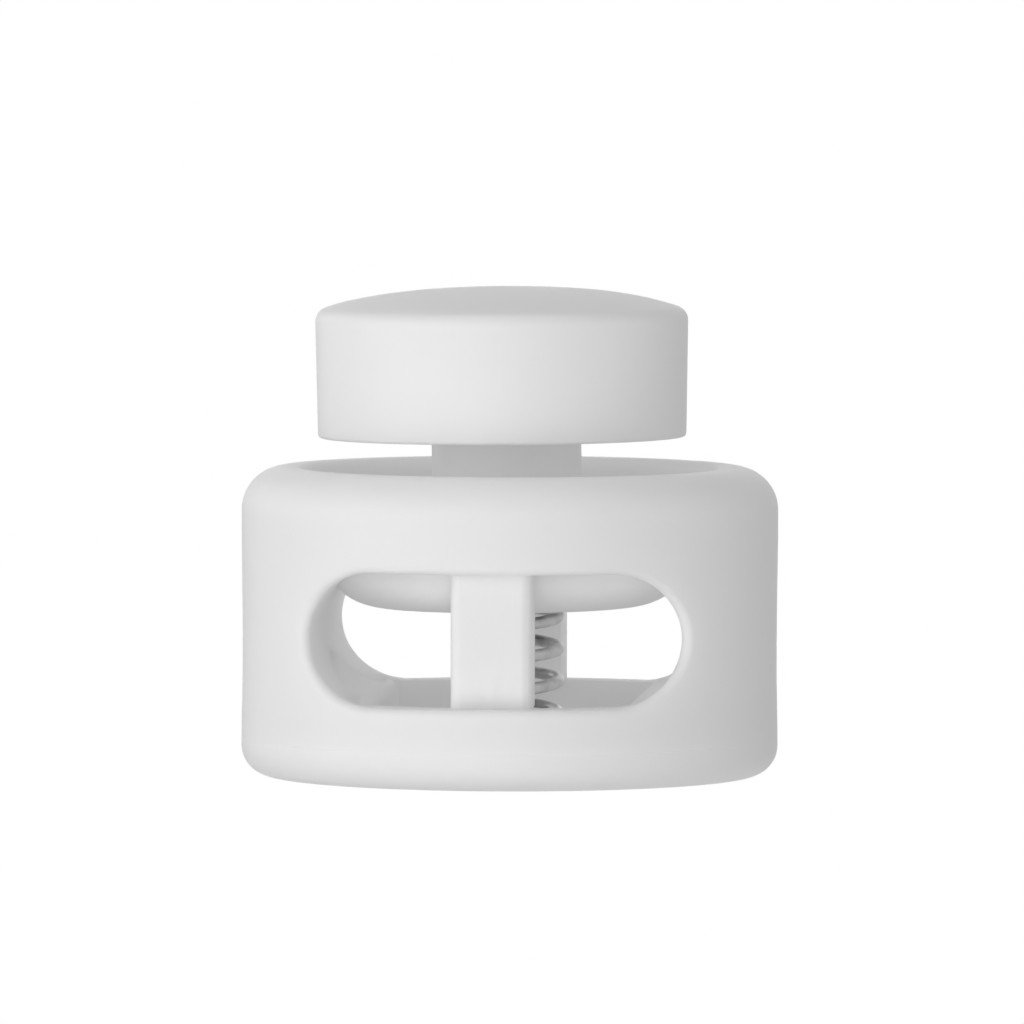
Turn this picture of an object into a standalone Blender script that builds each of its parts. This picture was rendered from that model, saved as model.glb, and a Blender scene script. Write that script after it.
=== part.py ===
"""Two-hole push-button cord lock.

A round body holds a spring-loaded plunger. Two cords pass through the body from front to back, one on
each side of the centre post. The spring lifts the plunger's flange and pinches the cords against the
body's ceiling, and pressing the button lets them run.

Metres, +Z up. The origin is the centre of the flat underside, and the cords run along Y.
"""

from math import asin, cos, pi, radians, sin, sqrt

import bmesh
import bpy

# ---------------------------------------------------------------- driving dimensions

ROUND_STEPS = 64                # facets round every turned shape
FILLET_STEPS = 5                # facets across a rounded edge

BODY_RADIUS = 0.0110
BODY_TOP_Z = 0.01266
SEAM_Z = 0.00155                # where the base cap meets the body
SEAM_GAP = 0.00005
BODY_TOP_FILLET = 0.00175
RIM_INNER_FILLET = 0.0007

RECESS_RADIUS = 0.0082          # the well that the button sinks into
RECESS_FLOOR_Z = 0.0102
CEILING_Z = 0.0090              # underside of the plate that the cords are pinched against
CAVITY_RADIUS = 0.0074
SKIRT_RADIUS = 0.0099           # below the cord holes the wall is a thin skirt round the base cap
SKIRT_TOP_Z = 0.00345
STEM_HOLE_RADIUS = 0.00325

WINDOW_HALF_WIDTH = 0.00758     # the opening through the body, a slot with round ends
WINDOW_BOTTOM_Z = 0.00333
WINDOW_TOP_Z = 0.00878
POST_WIDTH = 0.0033             # the post that parts each opening into two cord holes
POST_OUTER_RADIUS = 0.0102      # its face is set back from the body's surface
POST_EDGE_ROUND = 0.00045

BASE_FILLET = 0.00125
PLUG_RADIUS = 0.0098
PLUG_TOP_Z = 0.0034
LUG_RADIUS = 0.0073
LUG_TOP_Z = 0.0045              # top of the plug's side lugs, which round the channel's corners
CHANNEL_FLOOR_DROP = 0.00003    # the channel through the plug is this much deeper than the windows
BEAD_Z = 0.0024                 # the snap bead that holds the base cap in
BEAD_HEIGHT = 0.0003
BEAD_HALF_WIDTH = 0.0003
SNAP_CLEARANCE = 0.0001

WELL_END_RADIUS = 0.0093        # a slot from front to back, open so that the spring stands on the base
WELL_HALF_WIDTH = 0.0052
WELL_FLOOR_Z = 0.00145
PEG_RADIUS = 0.0016             # the peg that centres the spring
PEG_TOP_Z = 0.0027
PEG_CHAMFER = 0.0002

STEM_RADIUS = 0.00307
STEM_TOP_Z = 0.0174
STEM_BORE_RADIUS = 0.0026
STEM_BORE_TOP_Z = 0.0163
STEM_CHAMFER = 0.00025

FLANGE_RADIUS = 0.0072
FLANGE_TOP_Z = 0.00895
FLANGE_BOTTOM_Z = 0.00692
FLANGE_TOP_ROUND = 0.0003
FLANGE_EDGE_REACH = 0.0022      # the lower edge is a quarter ellipse, this far in from the rim
FLANGE_EDGE_RISE = 0.0014       # and this high, so that it nests in the channel's corners

BUTTON_RADIUS = 0.00765
BUTTON_BOTTOM_Z = 0.0139
BUTTON_TOP_Z = 0.02005
BUTTON_DOME_DROP = 0.00096      # from the apex down to the rim of the dome
BUTTON_DOME_FLATNESS = 0.56     # 1 is a plain parabola, 0 stays flat and falls at the rim
BUTTON_CORNER_ROUND = 0.00055
BUTTON_LIP_ROUND = 0.0003
BUTTON_WALL = 0.0011
BUTTON_ROOF_Z = 0.0180          # underside of the button's roof
SOCKET_CLEARANCE = 0.00005
SOCKET_WALL = 0.0011
SOCKET_BOTTOM_Z = 0.0148
SOCKET_TOP_Z = 0.0175

SPRING_WIRE = 0.0005
SPRING_MEAN_RADIUS = 0.0020
SPRING_BOTTOM_Z = 0.0015
SPRING_TOP_Z = 0.0162
SPRING_PITCH = 0.00133
SPRING_CLOSED_TURNS = 1.0       # at each end, wound almost wire to wire
SPRING_CLOSED_PITCH = 0.00056
SPRING_POINTS_PER_TURN = 14
SPRING_PHASE = radians(4.0)     # the direction in which the wire passes SPRING_PHASE_Z
SPRING_PHASE_Z = 0.00518

# ---------------------------------------------------------------- colours

WHITE_PLASTIC = ((0.86, 0.86, 0.85, 1.0), 0.42, 0.0)
DRAWN_STEEL = ((0.60, 0.59, 0.58, 1.0), 0.32, 1.0)


# ---------------------------------------------------------------- shared helpers

def clear_scene():
    for leftover in list(bpy.data.objects):
        bpy.data.objects.remove(leftover, do_unlink=True)


def collection(name):
    made = bpy.data.collections.new(name)
    bpy.context.scene.collection.children.link(made)
    return made


def material(name, look):
    colour, roughness, metallic = look
    made = bpy.data.materials.new(name)
    made.use_nodes = True
    shader = made.node_tree.nodes["Principled BSDF"]
    shader.inputs["Base Color"].default_value = colour
    shader.inputs["Roughness"].default_value = roughness
    shader.inputs["Metallic"].default_value = metallic
    made.diffuse_color = colour
    return made


def arc(centre_r, centre_z, radius, start_degrees, end_degrees, steps=FILLET_STEPS):
    """Points on a round edge of a profile; 0 degrees points outward and 90 degrees up."""
    points = []
    for i in range(steps + 1):
        angle = radians(start_degrees + (end_degrees - start_degrees) * i / steps)
        points.append((centre_r + radius * cos(angle), centre_z + radius * sin(angle)))
    return points


def turned(name, profile, closed, target):
    """A profile of (radius, height) points swept round Z. It runs down the outer side of the shape."""
    mesh = bpy.data.meshes.new(name)
    edges = [(i, i + 1) for i in range(len(profile) - 1)]
    if closed:
        edges.append((len(profile) - 1, 0))
    mesh.from_pydata([(r, 0.0, z) for r, z in profile], edges, [])
    made = bpy.data.objects.new(name, mesh)
    target.objects.link(made)
    screw = made.modifiers.new("Turn", "SCREW")
    screw.axis = "Z"
    screw.angle = 2.0 * pi
    screw.steps = ROUND_STEPS
    screw.render_steps = ROUND_STEPS
    screw.use_merge_vertices = True
    screw.merge_threshold = 1e-6
    screw.use_smooth_shade = True
    return made


def as_mesh(source, name, target):
    """The evaluated shape of an object as a plain mesh object, with its doubled points welded."""
    depsgraph = bpy.context.evaluated_depsgraph_get()
    mesh = bpy.data.meshes.new_from_object(source.evaluated_get(depsgraph))
    mesh.name = name
    welded = bmesh.new()
    welded.from_mesh(mesh)
    bmesh.ops.remove_doubles(welded, verts=welded.verts, dist=1e-7)
    bmesh.ops.recalc_face_normals(welded, faces=welded.faces)
    welded.to_mesh(mesh)
    welded.free()
    made = bpy.data.objects.new(name, mesh)
    made.matrix_world = source.matrix_world
    target.objects.link(made)
    bpy.data.objects.remove(source, do_unlink=True)
    return made


def cut(piece, cutter):
    boolean = piece.modifiers.new(cutter.name, "BOOLEAN")
    boolean.operation = "DIFFERENCE"
    boolean.solver = "EXACT"
    boolean.object = cutter


def hide_cutter(cutter):
    cutter.hide_render = True
    cutter.display_type = "WIRE"


def finish_piece(piece, look, parent):
    piece.data.materials.clear()
    piece.data.materials.append(look)
    piece.parent = parent


# ---------------------------------------------------------------- body

def barrel_profile():
    outer = arc(BODY_RADIUS - BODY_TOP_FILLET, BODY_TOP_Z - BODY_TOP_FILLET, BODY_TOP_FILLET, 90, 0,
                FILLET_STEPS + 2)
    groove_radius = PLUG_RADIUS + BEAD_HEIGHT + SNAP_CLEARANCE
    groove_half = BEAD_HALF_WIDTH + SNAP_CLEARANCE
    inner = [
        (BODY_RADIUS, SEAM_Z),
        (SKIRT_RADIUS, SEAM_Z),
        (SKIRT_RADIUS, BEAD_Z - groove_half),
        (groove_radius, BEAD_Z),
        (SKIRT_RADIUS, BEAD_Z + groove_half),
        (SKIRT_RADIUS, SKIRT_TOP_Z),
        (CAVITY_RADIUS, SKIRT_TOP_Z),
        (CAVITY_RADIUS, CEILING_Z),
        (STEM_HOLE_RADIUS, CEILING_Z),
        (STEM_HOLE_RADIUS, RECESS_FLOOR_Z),
        (RECESS_RADIUS, RECESS_FLOOR_Z),
    ]
    rim = arc(RECESS_RADIUS + RIM_INNER_FILLET, BODY_TOP_Z - RIM_INNER_FILLET, RIM_INNER_FILLET, 180, 90)
    return outer + inner + rim


def channel(name, cutters, margin=0.0):
    """A bar along Y with the windows' outline, a slot with round ends, grown by a margin."""
    window_radius = (WINDOW_TOP_Z - WINDOW_BOTTOM_Z) / 2.0
    middle_z = (WINDOW_TOP_Z + WINDOW_BOTTOM_Z) / 2.0
    straight = WINDOW_HALF_WIDTH - window_radius
    end_radius = window_radius + margin

    outline = bpy.data.curves.new(name + "_outline", "CURVE")
    outline.dimensions = "2D"
    outline.fill_mode = "BOTH"
    outline.extrude = BODY_RADIUS * 1.2
    spline = outline.splines.new("POLY")
    end_steps = 4 * FILLET_STEPS
    points = arc(straight, 0.0, end_radius, -90, 90, end_steps)
    points += arc(-straight, 0.0, end_radius, 90, 270, end_steps)
    spline.points.add(len(points) - 1)
    for point, (x, z) in zip(spline.points, points):
        point.co = (x, z, 0.0, 1.0)
    spline.use_cyclic_u = True
    slot = bpy.data.objects.new(name + "_outline", outline)
    slot.rotation_euler = (pi / 2.0, 0.0, 0.0)
    slot.location = (0.0, 0.0, middle_z)
    cutters.objects.link(slot)
    bpy.context.view_layer.update()
    bar = as_mesh(slot, name, cutters)
    hide_cutter(bar)
    return bar


def post_core(cutters):
    """A bar from front to back with rounded ends, which keeps the two posts from being cut away."""
    half_width = POST_WIDTH / 2.0
    corner_y = sqrt((POST_OUTER_RADIUS - POST_EDGE_ROUND) ** 2 - (half_width - POST_EDGE_ROUND) ** 2)
    bpy.ops.mesh.primitive_cube_add(size=1.0, location=(0.0, 0.0, BODY_TOP_Z / 2.0))
    post = bpy.context.object
    post.name = "post_core"
    post.data.name = "post_core"
    post.dimensions = (POST_WIDTH, 2.0 * (corner_y + POST_EDGE_ROUND), BODY_TOP_Z * 1.2)
    bpy.ops.object.transform_apply(location=False, rotation=False, scale=True)
    for holder in list(post.users_collection):
        holder.objects.unlink(post)
    cutters.objects.link(post)
    upright = post.data.attributes.new("bevel_weight_edge", "FLOAT", "EDGE")
    for edge in post.data.edges:
        low, high = (post.data.vertices[i].co for i in edge.vertices)
        upright.data[edge.index].value = 1.0 if abs(low.z - high.z) > BODY_TOP_Z else 0.0
    rounding = post.modifiers.new("Round", "BEVEL")
    rounding.limit_method = "WEIGHT"
    rounding.width = POST_EDGE_ROUND
    rounding.segments = FILLET_STEPS
    hide_cutter(post)
    return post


def make_barrel(parts, cutters, look, parent):
    barrel = turned("barrel", barrel_profile(), True, parts)
    windows = channel("window_cutter", cutters)
    cut(windows, post_core(cutters))
    cut(barrel, windows)
    finish_piece(barrel, look, parent)
    return barrel


# ---------------------------------------------------------------- base cap

def base_cap_profile():
    top_z = SEAM_Z - SEAM_GAP
    lugs = [
        (0.0, LUG_TOP_Z),
        (LUG_RADIUS, LUG_TOP_Z),
        (LUG_RADIUS, PLUG_TOP_Z),
    ]
    plug = [
        (PLUG_RADIUS, PLUG_TOP_Z),
        (PLUG_RADIUS, BEAD_Z + BEAD_HALF_WIDTH),
        (PLUG_RADIUS + BEAD_HEIGHT, BEAD_Z),
        (PLUG_RADIUS, BEAD_Z - BEAD_HALF_WIDTH),
        (PLUG_RADIUS, top_z),
        (BODY_RADIUS, top_z),
    ]
    foot = arc(BODY_RADIUS - BASE_FILLET, BASE_FILLET, BASE_FILLET, 0, -90)
    return lugs + plug + foot + [(0.0, 0.0)]


def peg_core(cutters):
    """The peg, which keeps its place in the well from being cut away."""
    peg = turned("peg_core", [
        (0.0, PEG_TOP_Z),
        (PEG_RADIUS - PEG_CHAMFER, PEG_TOP_Z),
        (PEG_RADIUS, PEG_TOP_Z - PEG_CHAMFER),
        (PEG_RADIUS, 0.0),
        (0.0, 0.0),
    ], False, cutters)
    hide_cutter(peg)
    return peg


def well(cutters):
    """The slot under the channel: straight sides, and ends concentric with the plug."""
    reach = asin(WELL_HALF_WIDTH / WELL_END_RADIUS)
    steps = FILLET_STEPS
    front = [(WELL_END_RADIUS * sin(reach * i / steps), -WELL_END_RADIUS * cos(reach * i / steps))
             for i in range(-steps, steps + 1)]
    outline = front + [(-x, -y) for x, y in front]
    count = len(outline)
    mesh = bpy.data.meshes.new("well_cutter")
    sides = [(i, (i + 1) % count, count + (i + 1) % count, count + i) for i in range(count)]
    ends = [tuple(reversed(range(count))), tuple(range(count, 2 * count))]
    mesh.from_pydata([(x, y, z) for z in (WELL_FLOOR_Z, 2.0 * LUG_TOP_Z) for x, y in outline], [], sides + ends)
    slot = bpy.data.objects.new("well_cutter", mesh)
    cutters.objects.link(slot)
    hide_cutter(slot)
    return slot


def make_base_cap(parts, cutters, look, parent):
    base_cap = turned("base_cap", base_cap_profile(), False, parts)
    floor = channel("floor_cutter", cutters, CHANNEL_FLOOR_DROP)
    cut(floor, post_core(cutters))
    slot = well(cutters)
    cut(slot, peg_core(cutters))
    cut(base_cap, floor)
    cut(base_cap, slot)
    finish_piece(base_cap, look, parent)
    return base_cap


# ---------------------------------------------------------------- plunger and button

def plunger_profile():
    stem = [
        (0.0, STEM_TOP_Z),
        (STEM_RADIUS - STEM_CHAMFER, STEM_TOP_Z),
        (STEM_RADIUS, STEM_TOP_Z - STEM_CHAMFER),
        (STEM_RADIUS, FLANGE_TOP_Z),
    ]
    flange = arc(FLANGE_RADIUS - FLANGE_TOP_ROUND, FLANGE_TOP_Z - FLANGE_TOP_ROUND,
                 FLANGE_TOP_ROUND, 90, 0, 2)
    for r, z in arc(0.0, 0.0, 1.0, 0, -90):
        flange.append((FLANGE_RADIUS + (r - 1.0) * FLANGE_EDGE_REACH,
                       FLANGE_BOTTOM_Z + (z + 1.0) * FLANGE_EDGE_RISE))
    bore = [
        (STEM_BORE_RADIUS + STEM_CHAMFER, FLANGE_BOTTOM_Z),
        (STEM_BORE_RADIUS, FLANGE_BOTTOM_Z + STEM_CHAMFER),
        (STEM_BORE_RADIUS, STEM_BORE_TOP_Z),
        (0.0, STEM_BORE_TOP_Z),
    ]
    return stem + flange + bore


def make_plunger(parts, look, parent):
    plunger = turned("plunger", plunger_profile(), False, parts)
    finish_piece(plunger, look, parent)
    return plunger


def dome_height(radius):
    """Height of the button's top at a radius: nearly flat in the middle, falling faster to the rim."""
    share = (radius / BUTTON_RADIUS) ** 2
    fall = BUTTON_DOME_FLATNESS * share + (1.0 - BUTTON_DOME_FLATNESS) * share ** 2
    return BUTTON_TOP_Z - BUTTON_DOME_DROP * fall


def button_profile():
    dome_steps = 7
    dome_edge = BUTTON_RADIUS - BUTTON_CORNER_ROUND
    dome_radii = [dome_edge * i / dome_steps for i in range(dome_steps)]
    dome = [(r, dome_height(r)) for r in dome_radii]
    corner_z = dome_height(dome_edge) - BUTTON_CORNER_ROUND
    corner = arc(dome_edge, corner_z, BUTTON_CORNER_ROUND, 75, 0, 4)
    lip = arc(BUTTON_RADIUS - BUTTON_LIP_ROUND, BUTTON_BOTTOM_Z + BUTTON_LIP_ROUND,
              BUTTON_LIP_ROUND, 0, -90, 3)
    socket_radius = STEM_RADIUS + SOCKET_CLEARANCE
    hollow = [
        (BUTTON_RADIUS - BUTTON_WALL, BUTTON_BOTTOM_Z),
        (BUTTON_RADIUS - BUTTON_WALL, BUTTON_ROOF_Z),
        (socket_radius + SOCKET_WALL, BUTTON_ROOF_Z),
        (socket_radius + SOCKET_WALL, SOCKET_BOTTOM_Z),
        (socket_radius, SOCKET_BOTTOM_Z),
        (socket_radius, SOCKET_TOP_Z),
        (0.0, SOCKET_TOP_Z),
    ]
    return dome + corner + lip + hollow


def make_button_cap(parts, look, parent):
    button = turned("button_cap", button_profile(), False, parts)
    finish_piece(button, look, parent)
    return button


# ---------------------------------------------------------------- spring

def spring_points():
    """The wire's centre line: closed end turns, and an open helix between them."""
    low = SPRING_BOTTOM_Z + SPRING_WIRE / 2.0
    high = SPRING_TOP_Z - SPRING_WIRE / 2.0
    closed_rise = SPRING_CLOSED_TURNS * SPRING_CLOSED_PITCH
    open_turns = (high - low - 2.0 * closed_rise) / SPRING_PITCH
    turns = open_turns + 2.0 * SPRING_CLOSED_TURNS

    def height(turn):
        if turn < SPRING_CLOSED_TURNS:
            return low + SPRING_CLOSED_PITCH * turn
        if turn > turns - SPRING_CLOSED_TURNS:
            return high - SPRING_CLOSED_PITCH * (turns - turn)
        return low + closed_rise + SPRING_PITCH * (turn - SPRING_CLOSED_TURNS)

    turn_at_phase = SPRING_CLOSED_TURNS + (SPRING_PHASE_Z - low - closed_rise) / SPRING_PITCH
    count = int(round(turns * SPRING_POINTS_PER_TURN))
    points = []
    for i in range(count + 1):
        turn = turns * i / count
        angle = SPRING_PHASE + 2.0 * pi * (turn - turn_at_phase)
        points.append((SPRING_MEAN_RADIUS * cos(angle), SPRING_MEAN_RADIUS * sin(angle), height(turn)))
    return points


def make_return_spring(parts, look, parent):
    wire = bpy.data.curves.new("return_spring", "CURVE")
    wire.dimensions = "3D"
    wire.bevel_depth = SPRING_WIRE / 2.0
    wire.bevel_resolution = 2
    wire.use_fill_caps = True
    points = spring_points()
    spline = wire.splines.new("POLY")
    spline.points.add(len(points) - 1)
    for point, place in zip(spline.points, points):
        point.co = (*place, 1.0)
    spring = bpy.data.objects.new("return_spring", wire)
    parts.objects.link(spring)
    finish_piece(spring, look, parent)
    return spring


# ---------------------------------------------------------------- assembly

def moving_frame(name, parts, parent):
    """An empty on the button's axis, which the pieces that move together hang from."""
    frame = bpy.data.objects.new(name, None)
    frame.empty_display_size = BODY_RADIUS / 2.0
    frame.parent = parent
    parts.objects.link(frame)
    return frame


def main():
    clear_scene()
    parts = collection("cord_lock")
    cutters = collection("cutters")

    fixed = moving_frame("body_frame", parts, None)
    spin = moving_frame("spin_frame", parts, fixed)
    press = moving_frame("press_frame", parts, spin)

    make_barrel(parts, cutters, material("body_white", WHITE_PLASTIC), fixed)
    make_base_cap(parts, cutters, material("base_white", WHITE_PLASTIC), fixed)
    make_return_spring(parts, material("spring_steel", DRAWN_STEEL), spin)
    make_plunger(parts, material("plunger_white", WHITE_PLASTIC), press)
    make_button_cap(parts, material("button_white", WHITE_PLASTIC), press)


main()
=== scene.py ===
"""The looks of a white two-hole cord lock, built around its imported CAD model.

Every CAD solid is replaced by a finer piece of the same size: a moulded barrel whose windows have a rolled
edge, a snap-in base, a hollow plunger, a domed button and a drawn-wire spring. Metres, +Z up.
"""

from math import acos, asin, atan2, ceil, cos, degrees, pi, radians, sin, sqrt, tan

import bmesh
import bpy
from mathutils import Matrix, Quaternion, Vector


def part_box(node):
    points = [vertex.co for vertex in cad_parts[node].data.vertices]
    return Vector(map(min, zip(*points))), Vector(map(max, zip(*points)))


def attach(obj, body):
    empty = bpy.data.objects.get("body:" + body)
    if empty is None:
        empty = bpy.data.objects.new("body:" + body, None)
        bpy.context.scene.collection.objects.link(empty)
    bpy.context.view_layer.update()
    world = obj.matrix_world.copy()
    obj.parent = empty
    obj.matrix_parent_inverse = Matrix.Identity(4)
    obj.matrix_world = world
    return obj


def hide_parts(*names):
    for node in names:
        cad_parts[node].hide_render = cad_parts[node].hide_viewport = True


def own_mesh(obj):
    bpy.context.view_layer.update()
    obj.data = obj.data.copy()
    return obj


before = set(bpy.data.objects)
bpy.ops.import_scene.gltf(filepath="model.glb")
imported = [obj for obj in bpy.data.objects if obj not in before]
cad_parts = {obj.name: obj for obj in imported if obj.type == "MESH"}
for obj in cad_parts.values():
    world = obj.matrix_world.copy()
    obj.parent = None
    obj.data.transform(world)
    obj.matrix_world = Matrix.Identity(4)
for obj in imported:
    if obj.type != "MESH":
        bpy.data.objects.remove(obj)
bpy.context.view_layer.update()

# ---------------------------------------------------------------- sizes

BARREL_LOW, BARREL_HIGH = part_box("barrel")
PLUNGER_LOW, PLUNGER_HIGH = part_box("plunger")
BUTTON_LOW, BUTTON_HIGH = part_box("button_cap")
SPRING_LOW, SPRING_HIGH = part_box("return_spring")

BODY_RADIUS = BARREL_HIGH.x
BODY_TOP_Z = BARREL_HIGH.z
BODY_TOP_FILLET = 0.00175
RIM_INNER_FILLET = 0.0007
SEAM_Z = BARREL_LOW.z
SEAM_EDGE_ROUND = 0.000012
SEAM_GAP = 0.000001             # closed up tighter than the CAD solids, as a snapped joint is

RECESS_RADIUS = 0.0082
RECESS_FLOOR_Z = 0.0102
RECESS_FLOOR_FILLET = 0.0003
CEILING_Z = 0.0090
CAVITY_RADIUS = 0.0074
SKIRT_RADIUS = 0.0099           # below the windows the wall is a thin skirt round the base
SKIRT_TOP_Z = 0.00345
WAIST_DEPTH = 0.000045          # the outside sinks in a little round the windows
WAIST_Z = 0.0050
WAIST_TOP_Z = 0.0100
STEM_HOLE_RADIUS = 0.00325
STEM_HOLE_CHAMFER = 0.00012

WINDOW_HALF_WIDTH = 0.00758
WINDOW_BOTTOM_Z = 0.00333
WINDOW_TOP_Z = 0.00878
WINDOW_RADIUS = (WINDOW_TOP_Z - WINDOW_BOTTOM_Z) / 2.0
WINDOW_MIDDLE_Z = (WINDOW_TOP_Z + WINDOW_BOTTOM_Z) / 2.0
WINDOW_STRAIGHT = WINDOW_HALF_WIDTH - WINDOW_RADIUS     # half the length of its straight top and bottom
WINDOW_EDGE_ROUND = 0.0003
POST_WIDTH = 0.00332
POST_ROOT = 0.0003              # how far the posts run up into the body over the windows
POST_FACE_Y = 0.01012
POST_EDGE_ROUND = 0.00045
POST_DRAFT = 0.0003             # how much further in each side of the posts' bar is at its middle

BASE_FILLET = 0.00125
PLUG_RADIUS = 0.009898
LUG_RADIUS = 0.007398           # the plug rises further inside the cavity, to fill the channel's corners
WELL_END_RADIUS = 0.0093        # the well under the channel is a slot from front to back
WELL_HALF_WIDTH = 0.0052
WELL_EDGE_ROUND = 0.0006        # eases the well's long edges into the channel's round corners
CHANNEL_FLOOR_DROP = 0.000002   # keeps the base's channel clear of the barrel's
PEG_RADIUS = 0.0016
PEG_TOP_Z = 0.0027
PEG_TOP_ROUND = 0.0003
GATE_RADIUS = 0.0011            # a dimple under the base, where the mould was filled
GATE_DEPTH = 0.00015
GATE_FLOOR_RADIUS = GATE_RADIUS * 0.8
GATE_LIP_ROUND = 0.0002
GATE_FLOOR_FILLET = 0.0001
WELL_FLOOR_GAP = 0.00003        # under the spring
PEG_ROOT = 0.0002               # how far the peg runs down into the well's floor
CUTTER_SPARE = 0.001            # how far a cutter stands out of what it cuts

LEAN = radians(0.35)            # the loose plunger leans over in its hole, by its clearance
LEAN_PIVOT_Z = 0.0080
SIDE_PLAY = 0.00011
BUTTON_SEATING = 0.00002        # how much further the button is pushed down on the stem
BUTTON_ECCENTRICITY = 0.00018   # the button's skin is a little off its socket's centre

STEM_TOP_RADIUS = 0.00305       # the stem has a slight draft, wider towards the flange
STEM_FOOT_RADIUS = 0.00309
STEM_BORE_RADIUS = 0.0026
STEM_BORE_TOP_Z = 0.0163
STEM_BORE_FILLET = 0.0002
STEM_CHAMFER = 0.00025
FLANGE_RADIUS = PLUNGER_HIGH.x
FLANGE_TOP_Z = 0.00895
FLANGE_TOP_ROUND = 0.0003
FLANGE_EDGE_REACH = 0.0023      # the flange's lower edge is a quarter of an ellipse
FLANGE_EDGE_RISE = 0.0015

BUTTON_RADIUS = BUTTON_HIGH.x
BUTTON_DOME_DROP = 0.00096      # from the middle of the top to its rim
BUTTON_DOME_FLATNESS = 0.56     # the share of the drop that goes by the radius squared; the rest is steeper
BUTTON_CORNER_ROUND = 0.0006
BUTTON_DRAFT = 0.0001           # how much narrower the skin is at its lip than at its crown
BUTTON_LIP_ROUND = 0.00015
BUTTON_INNER_LIP_ROUND = 0.0002
BUTTON_WALL = 0.0011
BUTTON_ROOF_Z = 0.0180
BUTTON_ROOF_FILLET = 0.0003
SOCKET_WALL = 0.0011
SOCKET_GAP = 0.00006            # round the stem
SOCKET_TOP_GAP = 0.00005        # over the stem
SOCKET_BOTTOM_Z = 0.0148
SOCKET_LIP_ROUND = 0.00015

SPRING_WIRE = 0.0005
SPRING_MEAN_RADIUS = 0.0020
SPRING_PITCH = 0.00133
SPRING_CLOSED_TURNS = 1.0
SPRING_CLOSED_PITCH = 0.00056
SPRING_CLOSED_RISE = SPRING_CLOSED_TURNS * SPRING_CLOSED_PITCH
SPRING_START_Z = SPRING_LOW.z + SPRING_WIRE / 2.0       # the centre of the wire at each end of the spring
SPRING_END_Z = SPRING_HIGH.z - SPRING_WIRE / 2.0
SPRING_PHASE = radians(4.0)     # the wire crosses this angle at this height
SPRING_PHASE_Z = 0.00521

WINDOW_LONG_STEPS = 96          # mesh columns along a window's top or bottom
WINDOW_END_STEPS = 32           # and round each of its ends
ROUND_STEPS = 2 * WINDOW_LONG_STEPS
ARC_STEP_DEGREES = 7.5          # in a rounded corner
SHARP_EDGE_ANGLE = radians(32.0)
WELD_DISTANCE = 0.0000001       # joins the sheets of a piece where they meet
MERGE_DISTANCE = 0.0000005      # closes the slivers that booleans leave
WIRE_SIDES = 20
WIRE_STEPS_PER_TURN = 56


# ---------------------------------------------------------------- outlines

def rounded(corners):
    """An open outline from corners of (u, v, round): each round is the radius that its corner is eased to."""
    points = []
    for i, (u, v, round_radius) in enumerate(corners):
        if round_radius <= 0.0 or i in (0, len(corners) - 1):
            points.append((u, v))
            continue
        corner = Vector((u, v))
        back = (Vector(corners[i - 1][:2]) - corner).normalized()
        ahead = (Vector(corners[i + 1][:2]) - corner).normalized()
        half_angle = acos(max(-1.0, min(1.0, back.dot(ahead)))) / 2.0
        centre = corner + (back + ahead).normalized() * (round_radius / sin(half_angle))
        reach = round_radius / tan(half_angle)
        start = corner + back * reach - centre
        turn = start.angle_signed(corner + ahead * reach - centre)
        steps = max(2, ceil(abs(degrees(turn)) / ARC_STEP_DEGREES))
        for k in range(steps + 1):
            angle = atan2(start.y, start.x) - turn * k / steps
            points.append((centre.x + round_radius * cos(angle), centre.y + round_radius * sin(angle)))
    return points


def window_point(length):
    """A point (x, z) of the window's outline and its outward normal, at a length from the lower right."""
    quarter = WINDOW_RADIUS * pi * 0.5
    runs = [
        ("arc", WINDOW_STRAIGHT, -45.0, quarter * 1.5),
        ("line", WINDOW_STRAIGHT, 1.0, 2.0 * WINDOW_STRAIGHT),
        ("arc", -WINDOW_STRAIGHT, 90.0, quarter * 2.0),
        ("line", -WINDOW_STRAIGHT, -1.0, 2.0 * WINDOW_STRAIGHT),
        ("arc", WINDOW_STRAIGHT, 270.0, quarter * 0.5),
    ]
    for kind, start_x, start, run_length in runs:
        if length > run_length + 1e-12:
            length -= run_length
            continue
        if kind == "arc":
            angle = radians(start) + length / WINDOW_RADIUS
            normal = (cos(angle), sin(angle))
            return (start_x + WINDOW_RADIUS * normal[0], WINDOW_MIDDLE_Z + WINDOW_RADIUS * normal[1]), normal
        return (start_x - start * length, WINDOW_MIDDLE_Z + start * WINDOW_RADIUS), (0.0, start)
    return window_point(0.0)


# ---------------------------------------------------------------- meshes

def add_grid(mesh, rows, flip=False):
    """Faces between closed rows of vertices of the same length; a row of one vertex is a pole."""
    for near, far in zip(rows, rows[1:]):
        count = max(len(near), len(far))
        for i in range(count):
            j = (i + 1) % count
            ring = [near[i % len(near)], near[j % len(near)], far[j % len(far)], far[i % len(far)]]
            face = list(dict.fromkeys(ring))
            if flip:
                face.reverse()
            mesh.faces.new(face)


def add_turned(mesh, profile):
    """A profile of (radius, height) points swept round Z. Points on the axis become poles."""
    rings = []
    for radius, z in profile:
        if radius < 1e-9:
            rings.append([mesh.verts.new((0.0, 0.0, z))])
            continue
        angles = [2.0 * pi * i / ROUND_STEPS for i in range(ROUND_STEPS)]
        rings.append([mesh.verts.new((radius * cos(a), radius * sin(a), z)) for a in angles])
    add_grid(mesh, rings)


def add_prism(mesh, outline, bottom, top):
    """A closed outline of (x, y) points raised from bottom to top."""
    low = [mesh.verts.new((x, y, bottom)) for x, y in outline]
    high = [mesh.verts.new((x, y, top)) for x, y in outline]
    add_grid(mesh, [low, high])
    mesh.faces.new(low)
    mesh.faces.new(high)


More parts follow.
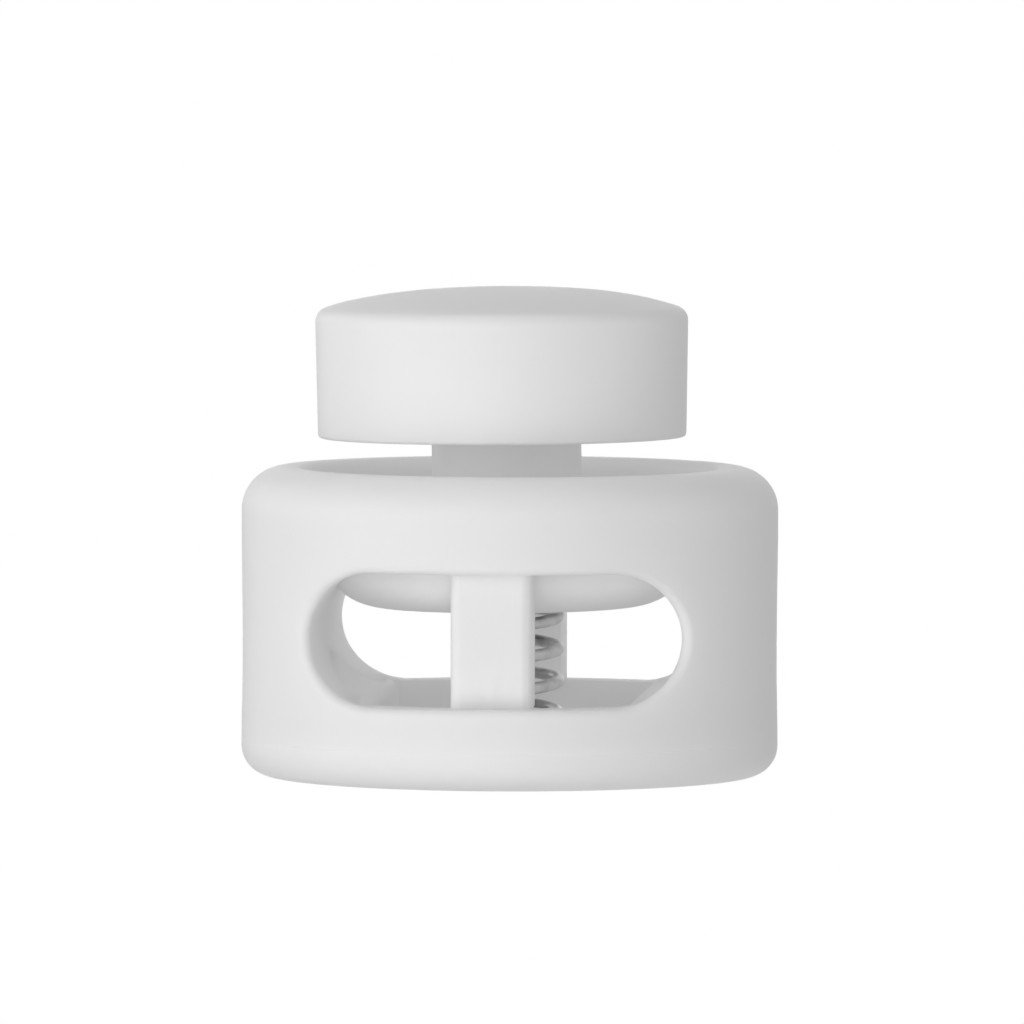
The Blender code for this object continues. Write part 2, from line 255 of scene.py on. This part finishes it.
def piece_from(mesh, name):
    """A bmesh as an object with its faces pointing out, smooth but for its real edges."""
    bmesh.ops.remove_doubles(mesh, verts=mesh.verts, dist=WELD_DISTANCE)
    bmesh.ops.recalc_face_normals(mesh, faces=mesh.faces)
    data = bpy.data.meshes.new(name)
    mesh.to_mesh(data)
    mesh.free()
    made = bpy.data.objects.new(name, data)
    bpy.context.scene.collection.objects.link(made)
    smooth(made)
    return made


def smooth(made):
    """Shades smooth, but for edges that turn by more than SHARP_EDGE_ANGLE."""
    made.data.shade_smooth()
    made.data.set_sharp_from_angle(angle=SHARP_EDGE_ANGLE)


def combine(made, operation, *tools):
    """Applies a boolean with each tool in turn, and removes the tools."""
    for tool in tools:
        boolean = made.modifiers.new(tool.name, "BOOLEAN")
        boolean.operation = operation
        boolean.solver = "EXACT"
        boolean.object = tool
        bpy.context.view_layer.update()
        depsgraph = bpy.context.evaluated_depsgraph_get()
        result = bpy.data.meshes.new_from_object(made.evaluated_get(depsgraph))
        made.modifiers.clear()
        made.data = result
        bpy.data.objects.remove(tool, do_unlink=True)
    mend(made)
    smooth(made)


def mend(made):
    """Removes the faces without area that booleans leave, once many-sided faces are cut to triangles."""
    mesh = bmesh.new()
    mesh.from_mesh(made.data)
    bmesh.ops.remove_doubles(mesh, verts=mesh.verts, dist=MERGE_DISTANCE)
    bmesh.ops.triangulate(mesh, faces=[face for face in mesh.faces if len(face.verts) > 4])
    bmesh.ops.dissolve_degenerate(mesh, edges=mesh.edges, dist=MERGE_DISTANCE)
    mesh.to_mesh(made.data)
    mesh.free()


def dress(piece, look, body, node):
    """Gives a piece its material and its body, and hides the CAD node that it stands for."""
    piece.data.materials.clear()
    piece.data.materials.append(look)
    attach(piece, body)
    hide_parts(node)
    return piece


# ---------------------------------------------------------------- barrel

def window_sheet(mesh, side, low_z, high_z):
    """One half of the barrel's outside with its window: tunnel, rolled edge, and outer skin to a rectangle.

    side is -1 for the front and 1 for the back. The columns go round the window. The rows start in the
    middle of the tunnel, roll over the edge on a ball of WINDOW_EDGE_ROUND, and spread over the skin.
    """
    end_length = WINDOW_RADIUS * pi * 0.5
    long_length = end_length + 2.0 * WINDOW_STRAIGHT
    runs = [
        (end_length, WINDOW_END_STEPS, (90.0, low_z), (90.0, high_z)),
        (long_length, WINDOW_LONG_STEPS, (90.0, high_z), (-90.0, high_z)),
        (end_length, WINDOW_END_STEPS, (-90.0, high_z), (-90.0, low_z)),
        (long_length, WINDOW_LONG_STEPS, (-90.0, low_z), (90.0, low_z)),
    ]
    tunnel_rows, edge_rows, skin_rows = 6, 12, 18
    columns = []
    start = 0.0
    for length, steps, corner, next_corner in runs:
        for i in range(steps):
            share = i / steps
            rim_angle = radians(corner[0] + (next_corner[0] - corner[0]) * share)
            rim_z = corner[1] + (next_corner[1] - corner[1]) * share
            (x, z), (normal_x, normal_z) = window_point(start + length * share)
            ball_orbit = BODY_RADIUS - WINDOW_EDGE_ROUND
            ball = Vector((x + normal_x * WINDOW_EDGE_ROUND, 0.0, z + normal_z * WINDOW_EDGE_ROUND))
            ball.y = side * sqrt(ball_orbit ** 2 - ball.x ** 2)
            from_wall = Vector((-normal_x, 0.0, -normal_z))
            to_skin = Vector((ball.x, ball.y, 0.0)) / ball_orbit
            column = [Vector((x, ball.y * k / tunnel_rows, z)) for k in range(tunnel_rows)]
            for k in range(edge_rows + 1):
                column.append(ball + from_wall.slerp(to_skin, k / edge_rows) * WINDOW_EDGE_ROUND)
            edge_angle = asin(ball.x / ball_orbit)
            for k in range(1, skin_rows + 1):
                blend = k / skin_rows
                angle = edge_angle + (rim_angle - edge_angle) * blend
                height = ball.z + (rim_z - ball.z) * blend
                column.append(Vector((BODY_RADIUS * sin(angle), side * BODY_RADIUS * cos(angle), height)))
            columns.append(column)
        start += length
    rows = [[mesh.verts.new(point) for point in row] for row in zip(*columns)]
    add_grid(mesh, rows, flip=side > 0)


def post_bar():
    """The bar whose two ends stay as the posts between the cord holes, front and back."""
    half = POST_WIDTH / 2.0
    inner = half - POST_DRAFT
    front = [
        (-inner, 0.0, 0.0),
        (-half, -POST_FACE_Y, POST_EDGE_ROUND),
        (half, -POST_FACE_Y, POST_EDGE_ROUND),
        (inner, 0.0, 0.0),
    ]
    outline = rounded(front)[1:]
    outline += [(-x, -y) for x, y in outline]
    mesh = bmesh.new()
    add_prism(mesh, outline, WINDOW_BOTTOM_Z, WINDOW_TOP_Z + POST_ROOT)
    return piece_from(mesh, "post_bar")


def turned_tool(name, profile):
    """A turned solid that cuts or joins another piece."""
    mesh = bmesh.new()
    add_turned(mesh, profile)
    return piece_from(mesh, name)


def waist(z):
    """How far the outside is sunk at a height."""
    reach = WAIST_TOP_Z - WAIST_Z if z > WAIST_Z else WAIST_Z - SEAM_Z
    return WAIST_DEPTH * max(0.0, 1.0 - ((z - WAIST_Z) / reach) ** 2) ** 1.5


def make_barrel(look):
    """The body: its skin and recess, hollow below, with the posts left standing between the cord holes."""
    skin_low = SEAM_Z + SEAM_EDGE_ROUND
    skin_high = BODY_TOP_Z - BODY_TOP_FILLET
    mesh = bmesh.new()
    window_sheet(mesh, -1, skin_low, skin_high)
    window_sheet(mesh, 1, skin_low, skin_high)
    add_turned(mesh, rounded([
        (0.0, RECESS_FLOOR_Z, 0.0),
        (RECESS_RADIUS, RECESS_FLOOR_Z, RECESS_FLOOR_FILLET),
        (RECESS_RADIUS, BODY_TOP_Z, RIM_INNER_FILLET),
        (BODY_RADIUS, BODY_TOP_Z, BODY_TOP_FILLET),
        (BODY_RADIUS, skin_high - BODY_TOP_FILLET, 0.0),
    ])[:-1])
    add_turned(mesh, [
        (BODY_RADIUS, skin_low),
        (BODY_RADIUS - SEAM_EDGE_ROUND, SEAM_Z),
        (0.0, SEAM_Z),
    ])
    barrel = piece_from(mesh, "moulded_barrel")
    skirt = turned_tool("skirt", [
        (0.0, SKIRT_TOP_Z), (SKIRT_RADIUS, SKIRT_TOP_Z), (SKIRT_RADIUS, -CUTTER_SPARE), (0.0, -CUTTER_SPARE)])
    combine(barrel, "DIFFERENCE", skirt)
    combine(barrel, "UNION", post_bar())
    cavity = turned_tool("cavity", [
        (0.0, CEILING_Z), (CAVITY_RADIUS, CEILING_Z), (CAVITY_RADIUS, -CUTTER_SPARE), (0.0, -CUTTER_SPARE)])
    stem_hole = turned_tool("stem_hole", [
        (0.0, RECESS_FLOOR_Z + CUTTER_SPARE),
        (STEM_HOLE_RADIUS + CUTTER_SPARE + STEM_HOLE_CHAMFER, RECESS_FLOOR_Z + CUTTER_SPARE),
        (STEM_HOLE_RADIUS, RECESS_FLOOR_Z - STEM_HOLE_CHAMFER),
        (STEM_HOLE_RADIUS, CEILING_Z - CUTTER_SPARE),
        (0.0, CEILING_Z - CUTTER_SPARE)])
    combine(barrel, "DIFFERENCE", cavity, stem_hole)
    for vertex in barrel.data.vertices:
        if vertex.co.xy.length > POST_FACE_Y:
            vertex.co.xy *= 1.0 - waist(vertex.co.z) / BODY_RADIUS
    return dress(barrel, look, "body", "barrel")


# ---------------------------------------------------------------- base

def channel_bar():
    """The space of the two windows right through the base's plug, a little deeper than their floor."""
    length = 2.0 * pi * WINDOW_RADIUS + 4.0 * WINDOW_STRAIGHT
    count = 2 * (WINDOW_LONG_STEPS + WINDOW_END_STEPS)
    mesh = bmesh.new()
    ends = []
    for y in (-BODY_RADIUS * 1.2, BODY_RADIUS * 1.2):
        ring = []
        for i in range(count):
            (x, z), (normal_x, normal_z) = window_point(length * i / count)
            x += normal_x * CHANNEL_FLOOR_DROP
            z += normal_z * CHANNEL_FLOOR_DROP
            ring.append(mesh.verts.new((x, y, z)))
        ends.append(ring)
    add_grid(mesh, ends)
    mesh.faces.new(ends[0])
    mesh.faces.new(ends[1])
    return piece_from(mesh, "channel_bar")


def well_bar(floor_z, top_z):
    """The slot-shaped well under the channel, which leaves a thin wall at the front and the back.

    Its long sides flare on a round that meets the channel's round corner without an edge.
    """
    across = WELL_HALF_WIDTH + WELL_EDGE_ROUND - WINDOW_STRAIGHT
    apart = WINDOW_RADIUS + WELL_EDGE_ROUND
    round_z = WINDOW_MIDDLE_Z - sqrt(apart ** 2 - across ** 2)
    levels = [(WELL_HALF_WIDTH, floor_z)]
    round_steps = 10
    for k in range(round_steps + 1):
        angle = acos(across / apart) * k / round_steps
        levels.append((WELL_HALF_WIDTH + WELL_EDGE_ROUND * (1.0 - cos(angle)),
                       round_z + WELL_EDGE_ROUND * sin(angle)))
    levels.append((levels[-1][0], top_z))
    mesh = bmesh.new()
    rings = []
    half_steps = 12
    for half_width, z in levels:
        step = asin(half_width / WELL_END_RADIUS) / half_steps
        front = [(WELL_END_RADIUS * sin(step * k), -WELL_END_RADIUS * cos(step * k))
                 for k in range(-half_steps, half_steps + 1)]
        outline = front + [(-x, -y) for x, y in front]
        rings.append([mesh.verts.new((x, y, z)) for x, y in outline])
    add_grid(mesh, rings)
    mesh.faces.new(rings[0])
    mesh.faces.new(rings[-1])
    return piece_from(mesh, "well_bar")


def make_base(look):
    """The foot and its plug, cut by the channel and the well, with the peg that centres the spring."""
    top_z = SEAM_Z - SEAM_GAP
    well_floor = SPRING_LOW.z - WELL_FLOOR_GAP
    lug_top = WINDOW_MIDDLE_Z - sqrt(WINDOW_RADIUS ** 2 - (LUG_RADIUS - WINDOW_STRAIGHT) ** 2)
    mesh = bmesh.new()
    add_turned(mesh, rounded([
        (0.0, lug_top, 0.0),
        (LUG_RADIUS, lug_top, 0.0),
        (LUG_RADIUS, SKIRT_TOP_Z - SEAM_GAP, 0.0),
        (PLUG_RADIUS, SKIRT_TOP_Z - SEAM_GAP, 0.0),
        (PLUG_RADIUS, top_z, 0.0),
        (BODY_RADIUS, top_z, SEAM_EDGE_ROUND),
        (BODY_RADIUS, 0.0, BASE_FILLET),
        (GATE_RADIUS, 0.0, GATE_LIP_ROUND),
        (GATE_FLOOR_RADIUS, GATE_DEPTH, GATE_FLOOR_FILLET),
        (0.0, GATE_DEPTH, 0.0),
    ]))
    base = piece_from(mesh, "snap_in_base")
    combine(base, "DIFFERENCE", channel_bar(), well_bar(well_floor, lug_top + CUTTER_SPARE))
    peg = turned_tool("peg", rounded([
        (0.0, PEG_TOP_Z, 0.0),
        (PEG_RADIUS, PEG_TOP_Z, PEG_TOP_ROUND),
        (PEG_RADIUS, well_floor - PEG_ROOT, 0.0),
        (0.0, well_floor - PEG_ROOT, 0.0),
    ]))
    combine(base, "UNION", peg)
    return dress(base, look, "body", "base_cap")


# ---------------------------------------------------------------- plunger and button

def make_plunger(look):
    """The hollow stem and the flange that pinches the cords."""
    bottom_z = PLUNGER_LOW.z
    lower_edge = []
    edge_steps = 24
    for k in range(1, edge_steps + 1):
        angle = pi / 2.0 * k / edge_steps
        lower_edge.append((FLANGE_RADIUS - FLANGE_EDGE_REACH * (1.0 - cos(angle)),
                           bottom_z + FLANGE_EDGE_RISE * (1.0 - sin(angle)), 0.0))
    mesh = bmesh.new()
    add_turned(mesh, rounded([
        (0.0, PLUNGER_HIGH.z, 0.0),
        (STEM_TOP_RADIUS, PLUNGER_HIGH.z, STEM_CHAMFER),
        (STEM_FOOT_RADIUS, FLANGE_TOP_Z, 0.0),
        (FLANGE_RADIUS, FLANGE_TOP_Z, FLANGE_TOP_ROUND),
        (FLANGE_RADIUS, bottom_z + FLANGE_EDGE_RISE, 0.0),
        *lower_edge,
        (STEM_BORE_RADIUS, bottom_z, STEM_CHAMFER),
        (STEM_BORE_RADIUS, STEM_BORE_TOP_Z, STEM_BORE_FILLET),
        (0.0, STEM_BORE_TOP_Z, 0.0),
    ]))
    plunger = piece_from(mesh, "hollow_plunger")
    lean(plunger)
    return dress(plunger, look, "plunger", "plunger")


def lean(piece):
    """Tips a piece of the plunger to the left and sets it against the side of its hole."""
    pivot = Matrix.Translation((0.0, 0.0, LEAN_PIVOT_Z))
    tip = pivot @ Matrix.Rotation(-LEAN, 4, "Y") @ pivot.inverted()
    piece.data.transform(Matrix.Translation((-SIDE_PLAY, 0.0, 0.0)) @ tip)


def dome_height(radius):
    """Height of the button's top: nearly flat in the middle, falling faster towards the rim."""
    share = (radius / BUTTON_RADIUS) ** 2
    fall = BUTTON_DOME_FLATNESS * share + (1.0 - BUTTON_DOME_FLATNESS) * share ** 2
    return BUTTON_HIGH.z - BUTTON_DOME_DROP * fall


def make_button(look):
    """The hollow dome and the socket that grips the stem."""
    dome_steps = 40
    dome_edge = BUTTON_RADIUS - BUTTON_CORNER_ROUND
    dome = [(dome_edge * k / dome_steps, dome_height(dome_edge * k / dome_steps), 0.0)
            for k in range(dome_steps + 1)]
    inner_radius = BUTTON_RADIUS - BUTTON_WALL
    socket_radius = STEM_TOP_RADIUS + SOCKET_GAP
    socket_skin = socket_radius + SOCKET_WALL
    mesh = bmesh.new()
    add_turned(mesh, rounded([
        *dome,
        (BUTTON_RADIUS, dome_height(BUTTON_RADIUS), BUTTON_CORNER_ROUND),
        (BUTTON_RADIUS - BUTTON_DRAFT, BUTTON_LOW.z, BUTTON_LIP_ROUND),
        (inner_radius, BUTTON_LOW.z, BUTTON_INNER_LIP_ROUND),
        (inner_radius, BUTTON_ROOF_Z, BUTTON_ROOF_FILLET),
        (socket_skin, BUTTON_ROOF_Z, BUTTON_ROOF_FILLET),
        (socket_skin, SOCKET_BOTTOM_Z, SOCKET_LIP_ROUND),
        (socket_radius, SOCKET_BOTTOM_Z, SOCKET_LIP_ROUND),
        (socket_radius, PLUNGER_HIGH.z + SOCKET_TOP_GAP, 0.0),
        (0.0, PLUNGER_HIGH.z + SOCKET_TOP_GAP, 0.0),
    ]))
    button = piece_from(mesh, "domed_button")
    for vertex in button.data.vertices:
        outward = (vertex.co.xy.length - socket_skin) / (inner_radius - socket_skin)
        vertex.co.x -= BUTTON_ECCENTRICITY * max(0.0, min(1.0, outward))
        vertex.co.z -= BUTTON_SEATING
    lean(button)
    return dress(button, look, "plunger", "button_cap")


# ---------------------------------------------------------------- spring

def spring_height(turn, turns):
    """Height of the wire's centre: the open turns have the full pitch, and the end turns lie closed."""
    if turn < SPRING_CLOSED_TURNS:
        return SPRING_START_Z + SPRING_CLOSED_PITCH * turn
    if turn > turns - SPRING_CLOSED_TURNS:
        return SPRING_END_Z - SPRING_CLOSED_PITCH * (turns - turn)
    return SPRING_START_Z + SPRING_CLOSED_RISE + SPRING_PITCH * (turn - SPRING_CLOSED_TURNS)


def make_spring(look):
    """The coil, which shortens as the button is pressed, built here at one length with its lower end in the
    well.
    """
    open_rise = SPRING_END_Z - SPRING_START_Z - 2.0 * SPRING_CLOSED_RISE
    turns = open_rise / SPRING_PITCH + 2.0 * SPRING_CLOSED_TURNS
    phase_rise = SPRING_PHASE_Z - SPRING_START_Z - SPRING_CLOSED_RISE
    turn_at_phase = SPRING_CLOSED_TURNS + phase_rise / SPRING_PITCH
    rise = SPRING_PITCH / (2.0 * pi * SPRING_MEAN_RADIUS)
    count = round(turns * WIRE_STEPS_PER_TURN)
    mesh = bmesh.new()
    rings = []
    for i in range(count + 1):
        turn = turns * i / count
        angle = SPRING_PHASE + 2.0 * pi * (turn - turn_at_phase)
        outward = Vector((cos(angle), sin(angle), 0.0))
        centre = outward * SPRING_MEAN_RADIUS + Vector((0.0, 0.0, spring_height(turn, turns)))
        along = Vector((-sin(angle), cos(angle), rise)).normalized()
        upward = outward.cross(along)
        ring = []
        for k in range(WIRE_SIDES):
            around = 2.0 * pi * k / WIRE_SIDES
            across = outward * cos(around) + upward * sin(around)
            ring.append(mesh.verts.new(centre + across * SPRING_WIRE / 2.0))
        rings.append(ring)
    add_grid(mesh, rings)
    mesh.faces.new(rings[0])
    mesh.faces.new(rings[-1])
    spring = piece_from(mesh, "drawn_wire_spring")
    dress(spring, look, "spring", "return_spring")
    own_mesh(spring)
    return spring


# ---------------------------------------------------------------- materials

CLOUD_SCALE = 260.0             # noise features per metre
PATCH_SCALE = 900.0
SCRATCH_SCALE = 2600.0
GRAIN_SCALE = 14000.0
SCATTER_WEIGHT = 0.6
SCATTER_FADE = (0.00005, 0.0009)        # distances from the seam between which it grows to its full weight


class Look:
    """A Principled material, and short ways to add nodes to it."""

    def __init__(self, name):
        self.material = bpy.data.materials.new(name)
        self.material.use_nodes = True
        self.tree = self.material.node_tree
        self.shader = self.tree.nodes["Principled BSDF"]
        self.place = self.node("ShaderNodeTexCoord").outputs["Object"]

    def node(self, kind, **settings):
        made = self.tree.nodes.new(kind)
        for key, value in settings.items():
            setattr(made, key, value)
        return made

    def link(self, output, socket):
        self.tree.links.new(output, socket)

    def noise(self, scale, detail, roughness, place=None):
        made = self.node("ShaderNodeTexNoise")
        made.inputs["Scale"].default_value = scale
        made.inputs["Detail"].default_value = detail
        made.inputs["Roughness"].default_value = roughness
        self.link(place or self.place, made.inputs["Vector"])
        return made.outputs["Fac"]

    def ranged(self, value, from_low, from_high, to_low, to_high):
        made = self.node("ShaderNodeMapRange")
        self.link(value, made.inputs["Value"])
        made.inputs["From Min"].default_value = from_low
        made.inputs["From Max"].default_value = from_high
        made.inputs["To Min"].default_value = to_low
        made.inputs["To Max"].default_value = to_high
        return made.outputs["Result"]

    def greys(self, value, *stops):
        made = self.node("ShaderNodeValToRGB")
        self.link(value, made.inputs["Fac"])
        for element, (position, grey) in zip(made.color_ramp.elements, stops):
            element.position = position
            element.color = (grey, grey, grey, 1.0)
        return made.outputs["Color"]

    def distance_to_height(self, z):
        """How far above or below a height the surface is."""
        split = self.node("ShaderNodeSeparateXYZ")
        self.link(self.place, split.inputs[0])
        above = self.node("ShaderNodeMath", operation="SUBTRACT")
        self.link(split.outputs["Z"], above.inputs[0])
        above.inputs[1].default_value = z
        distance = self.node("ShaderNodeMath", operation="ABSOLUTE")
        self.link(above.outputs[0], distance.inputs[0])
        return distance.outputs[0]

    def distance_to_axis(self):
        """How far the surface is from the lock's axis."""
        flat = self.node("ShaderNodeVectorMath", operation="MULTIPLY")
        self.link(self.place, flat.inputs[0])
        flat.inputs[1].default_value = (1.0, 1.0, 0.0)
        distance = self.node("ShaderNodeVectorMath", operation="LENGTH")
        self.link(flat.outputs["Vector"], distance.inputs[0])
        return distance.outputs["Value"]

    def bump(self, height, strength, distance, under=None):
        made = self.node("ShaderNodeBump")
        made.inputs["Strength"].default_value = strength
        made.inputs["Distance"].default_value = distance
        self.link(height, made.inputs["Height"])
        if under is not None:
            self.link(under, made.inputs["Normal"])
        return made.outputs["Normal"]


def white_plastic(name, seed_shift, roughness):
    """Satin moulded acetal: a fine spark-eroded grain, faint flow clouds, and light that sinks into it."""
    look = Look(name)
    shift = look.node("ShaderNodeVectorMath", operation="ADD")
    look.link(look.place, shift.inputs[0])
    shift.inputs[1].default_value = (seed_shift, 0.0, 0.0)
    place = shift.outputs["Vector"]

    clouds = look.noise(CLOUD_SCALE, 3.0, 0.55, place)
    look.link(look.greys(clouds, (0.35, 0.95), (0.68, 0.965)), look.shader.inputs["Base Color"])
    patches = look.noise(PATCH_SCALE, 2.0, 0.5, place)
    dullness = look.ranged(patches, 0.3, 0.7, roughness - 0.05, roughness + 0.05)
    look.link(dullness, look.shader.inputs["Roughness"])

    sink = look.bump(clouds, 0.12, 0.00004)
    grain = look.bump(look.noise(GRAIN_SCALE, 2.0, 0.6, place), 0.25, 0.000006, sink)
    look.link(grain, look.shader.inputs["Normal"])
    look.shader.inputs["IOR"].default_value = 1.48
    # Scattering would darken a band along the seam, so it fades out towards it.
    look.link(look.ranged(look.distance_to_height(SEAM_Z), *SCATTER_FADE, 0.0, SCATTER_WEIGHT),
              look.shader.inputs["Subsurface Weight"])
    look.shader.inputs["Subsurface Radius"].default_value = (1.0, 1.0, 1.0)
    look.shader.inputs["Subsurface Scale"].default_value = 0.001
    return look.material


def drawn_steel():
    """Dull spring wire: fine scratches along the wire, in patches, with painted shade on the coil's inside
    and a painted lighter band on its outside.
    """
    look = Look("drawn_steel")
    stretch = look.node("ShaderNodeMapping")
    look.link(look.place, stretch.inputs["Vector"])
    stretch.inputs["Scale"].default_value = (1.0, 1.0, 9.0)
    lines = look.noise(SCRATCH_SCALE, 4.0, 0.65, stretch.outputs["Vector"])
    # Painted shade: the base colour darkens towards the coil's inside, which faces the axis, and lightens on
    # its outside.
    painted_coil_shading = look.ranged(look.distance_to_axis(), SPRING_MEAN_RADIUS - SPRING_WIRE / 2.0,
                         SPRING_MEAN_RADIUS + SPRING_WIRE / 2.0, -0.22, 0.18)
    patches = look.node("ShaderNodeMath", operation="ADD")
    look.link(look.noise(PATCH_SCALE, 3.0, 0.6), patches.inputs[0])
    look.link(painted_coil_shading, patches.inputs[1])
    look.link(look.greys(patches.outputs[0], (0.30, 0.33), (0.70, 0.74)), look.shader.inputs["Base Color"])
    look.link(look.ranged(lines, 0.3, 0.7, 0.28, 0.44), look.shader.inputs["Roughness"])
    look.link(look.bump(lines, 0.35, 0.00002), look.shader.inputs["Normal"])
    look.shader.inputs["Metallic"].default_value = 1.0
    return look.material


# ---------------------------------------------------------------- studio

CAMERA_DISTANCE = 0.6
CAMERA_LENS = 514.3
CAMERA_AZIMUTH = radians(4.4)
CAMERA_ELEVATION = radians(3.0)
CAMERA_ROLL = radians(0.12)
TARGET_HEIGHT = 0.01079
TARGET_RIGHT = 0.000083
SHADOW_LIFT = [(0.10, 0.20), (0.28, 0.39), (0.50, 0.52), (0.70, 0.70)]
WORLD_STRENGTH = 0.27
DIFFUSE_BOUNCES = 12            # the lock's inside is lit by light that bounces many times
SWEEP_RADIUS = 1.0
SWEEP_CURVE = 0.3
SWEEP_HEIGHT = 0.9
SWEEP_GAP = 0.00002             # under the base
LAMP_DISTANCE = 0.7
LAMP_SIZE = 0.5
LAMPS = {                       # azimuth and elevation in degrees, and power in watts
    "key_softbox": (-35.0, 12.0, 0.8),
    "left_softbox": (-70.0, 10.0, 1.03),
    "front_softbox": (0.0, 10.0, 0.62),
    "right_fill": (80.0, 10.0, 0.5),
    "back_right_softbox": (130.0, 12.0, 0.12),
    "back_left_softbox": (-130.0, 12.0, 0.7),
    "back_softbox": (180.0, 8.0, 0.58),
    "overhead": (0.0, 88.0, 0.74),
    "front_bounce": (0.0, -35.0, 1.5),
    "back_bounce": (180.0, -35.0, 2.0),
}


def aim(thing, target):
    """Turns a camera or light to face a point."""
    thing.rotation_mode = "QUATERNION"
    thing.rotation_quaternion = (target - thing.location).to_track_quat("-Z", "Y")


def direction(azimuth, elevation):
    """The unit vector from the object towards an azimuth and elevation; azimuth 0 is the front, -Y."""
    return Vector((sin(azimuth) * cos(elevation), -cos(azimuth) * cos(elevation), sin(elevation)))


def make_camera():
    data = bpy.data.cameras.new("camera")
    data.lens = CAMERA_LENS
    data.sensor_width = 36.0
    data.clip_start = 0.01
    data.clip_end = 10.0
    camera = bpy.data.objects.new("camera", data)
    bpy.context.scene.collection.objects.link(camera)
    right = Vector((cos(CAMERA_AZIMUTH), sin(CAMERA_AZIMUTH), 0.0))
    target = Vector((0.0, 0.0, TARGET_HEIGHT)) + right * TARGET_RIGHT
    camera.location = target + direction(CAMERA_AZIMUTH, CAMERA_ELEVATION) * CAMERA_DISTANCE
    aim(camera, target)
    camera.rotation_quaternion @= Quaternion((0.0, 0.0, 1.0), CAMERA_ROLL)
    bpy.context.scene.camera = camera


def make_light(name, azimuth, elevation, power):
    data = bpy.data.lights.new(name, "AREA")
    data.shape = "DISK"
    data.size = LAMP_SIZE
    data.energy = power
    light = bpy.data.objects.new(name, data)
    bpy.context.scene.collection.objects.link(light)
    centre = Vector((0.0, 0.0, TARGET_HEIGHT))
    light.location = centre + direction(radians(azimuth), radians(elevation)) * LAMP_DISTANCE
    aim(light, centre)


def make_stage():
    """A white sweep round the whole set. It is seen but doesn't light: the world and lamps do."""
    mesh = bmesh.new()
    add_turned(mesh, rounded([
        (0.0, 0.0, 0.0), (SWEEP_RADIUS, 0.0, SWEEP_CURVE), (SWEEP_RADIUS, SWEEP_HEIGHT, 0.0)]))
    sweep = piece_from(mesh, "white_sweep")
    sweep.location.z = -SWEEP_GAP
    look = Look("sweep_white")
    look.shader.inputs["Base Color"].default_value = (0.0, 0.0, 0.0, 1.0)
    look.shader.inputs["Specular IOR Level"].default_value = 0.0
    look.shader.inputs["Emission Color"].default_value = (1.0, 1.0, 1.0, 1.0)
    look.shader.inputs["Emission Strength"].default_value = 1.0
    sweep.data.materials.append(look.material)
    sweep.visible_diffuse = False
    sweep.visible_glossy = False
    sweep.visible_transmission = False
    sweep.visible_shadow = False


def make_world():
    world = bpy.data.worlds.new("studio")
    world.use_nodes = True
    background = world.node_tree.nodes["Background"]
    background.inputs["Color"].default_value = (1.0, 1.0, 1.0, 1.0)
    background.inputs["Strength"].default_value = WORLD_STRENGTH
    bpy.context.scene.world = world


def develop():
    """Prints like a product photograph: true whites, with the shadows inside the lock opened up."""
    settings = bpy.context.scene.view_settings
    settings.view_transform = "Standard"
    settings.use_curve_mapping = True
    curve = settings.curve_mapping.curves[3]
    for shade, printed in SHADOW_LIFT:
        curve.points.new(shade, printed)
    settings.curve_mapping.update()


make_camera()
make_stage()
bpy.context.scene.cycles.diffuse_bounces = DIFFUSE_BOUNCES
bpy.context.scene.cycles.max_bounces = DIFFUSE_BOUNCES + 4
make_world()
for name, (azimuth, elevation, power) in LAMPS.items():
    make_light(name, azimuth, elevation, power)
bpy.data.objects["back_bounce"].visible_glossy = False      # its reflection would whiten the base's outline
develop()

make_barrel(white_plastic("barrel_plastic", 0.0, 0.5))
make_base(white_plastic("base_plastic", 0.05, 0.5))
make_plunger(white_plastic("plunger_plastic", 0.1, 0.34))
make_button(white_plastic("button_plastic", 0.15, 0.5))
make_spring(drawn_steel())
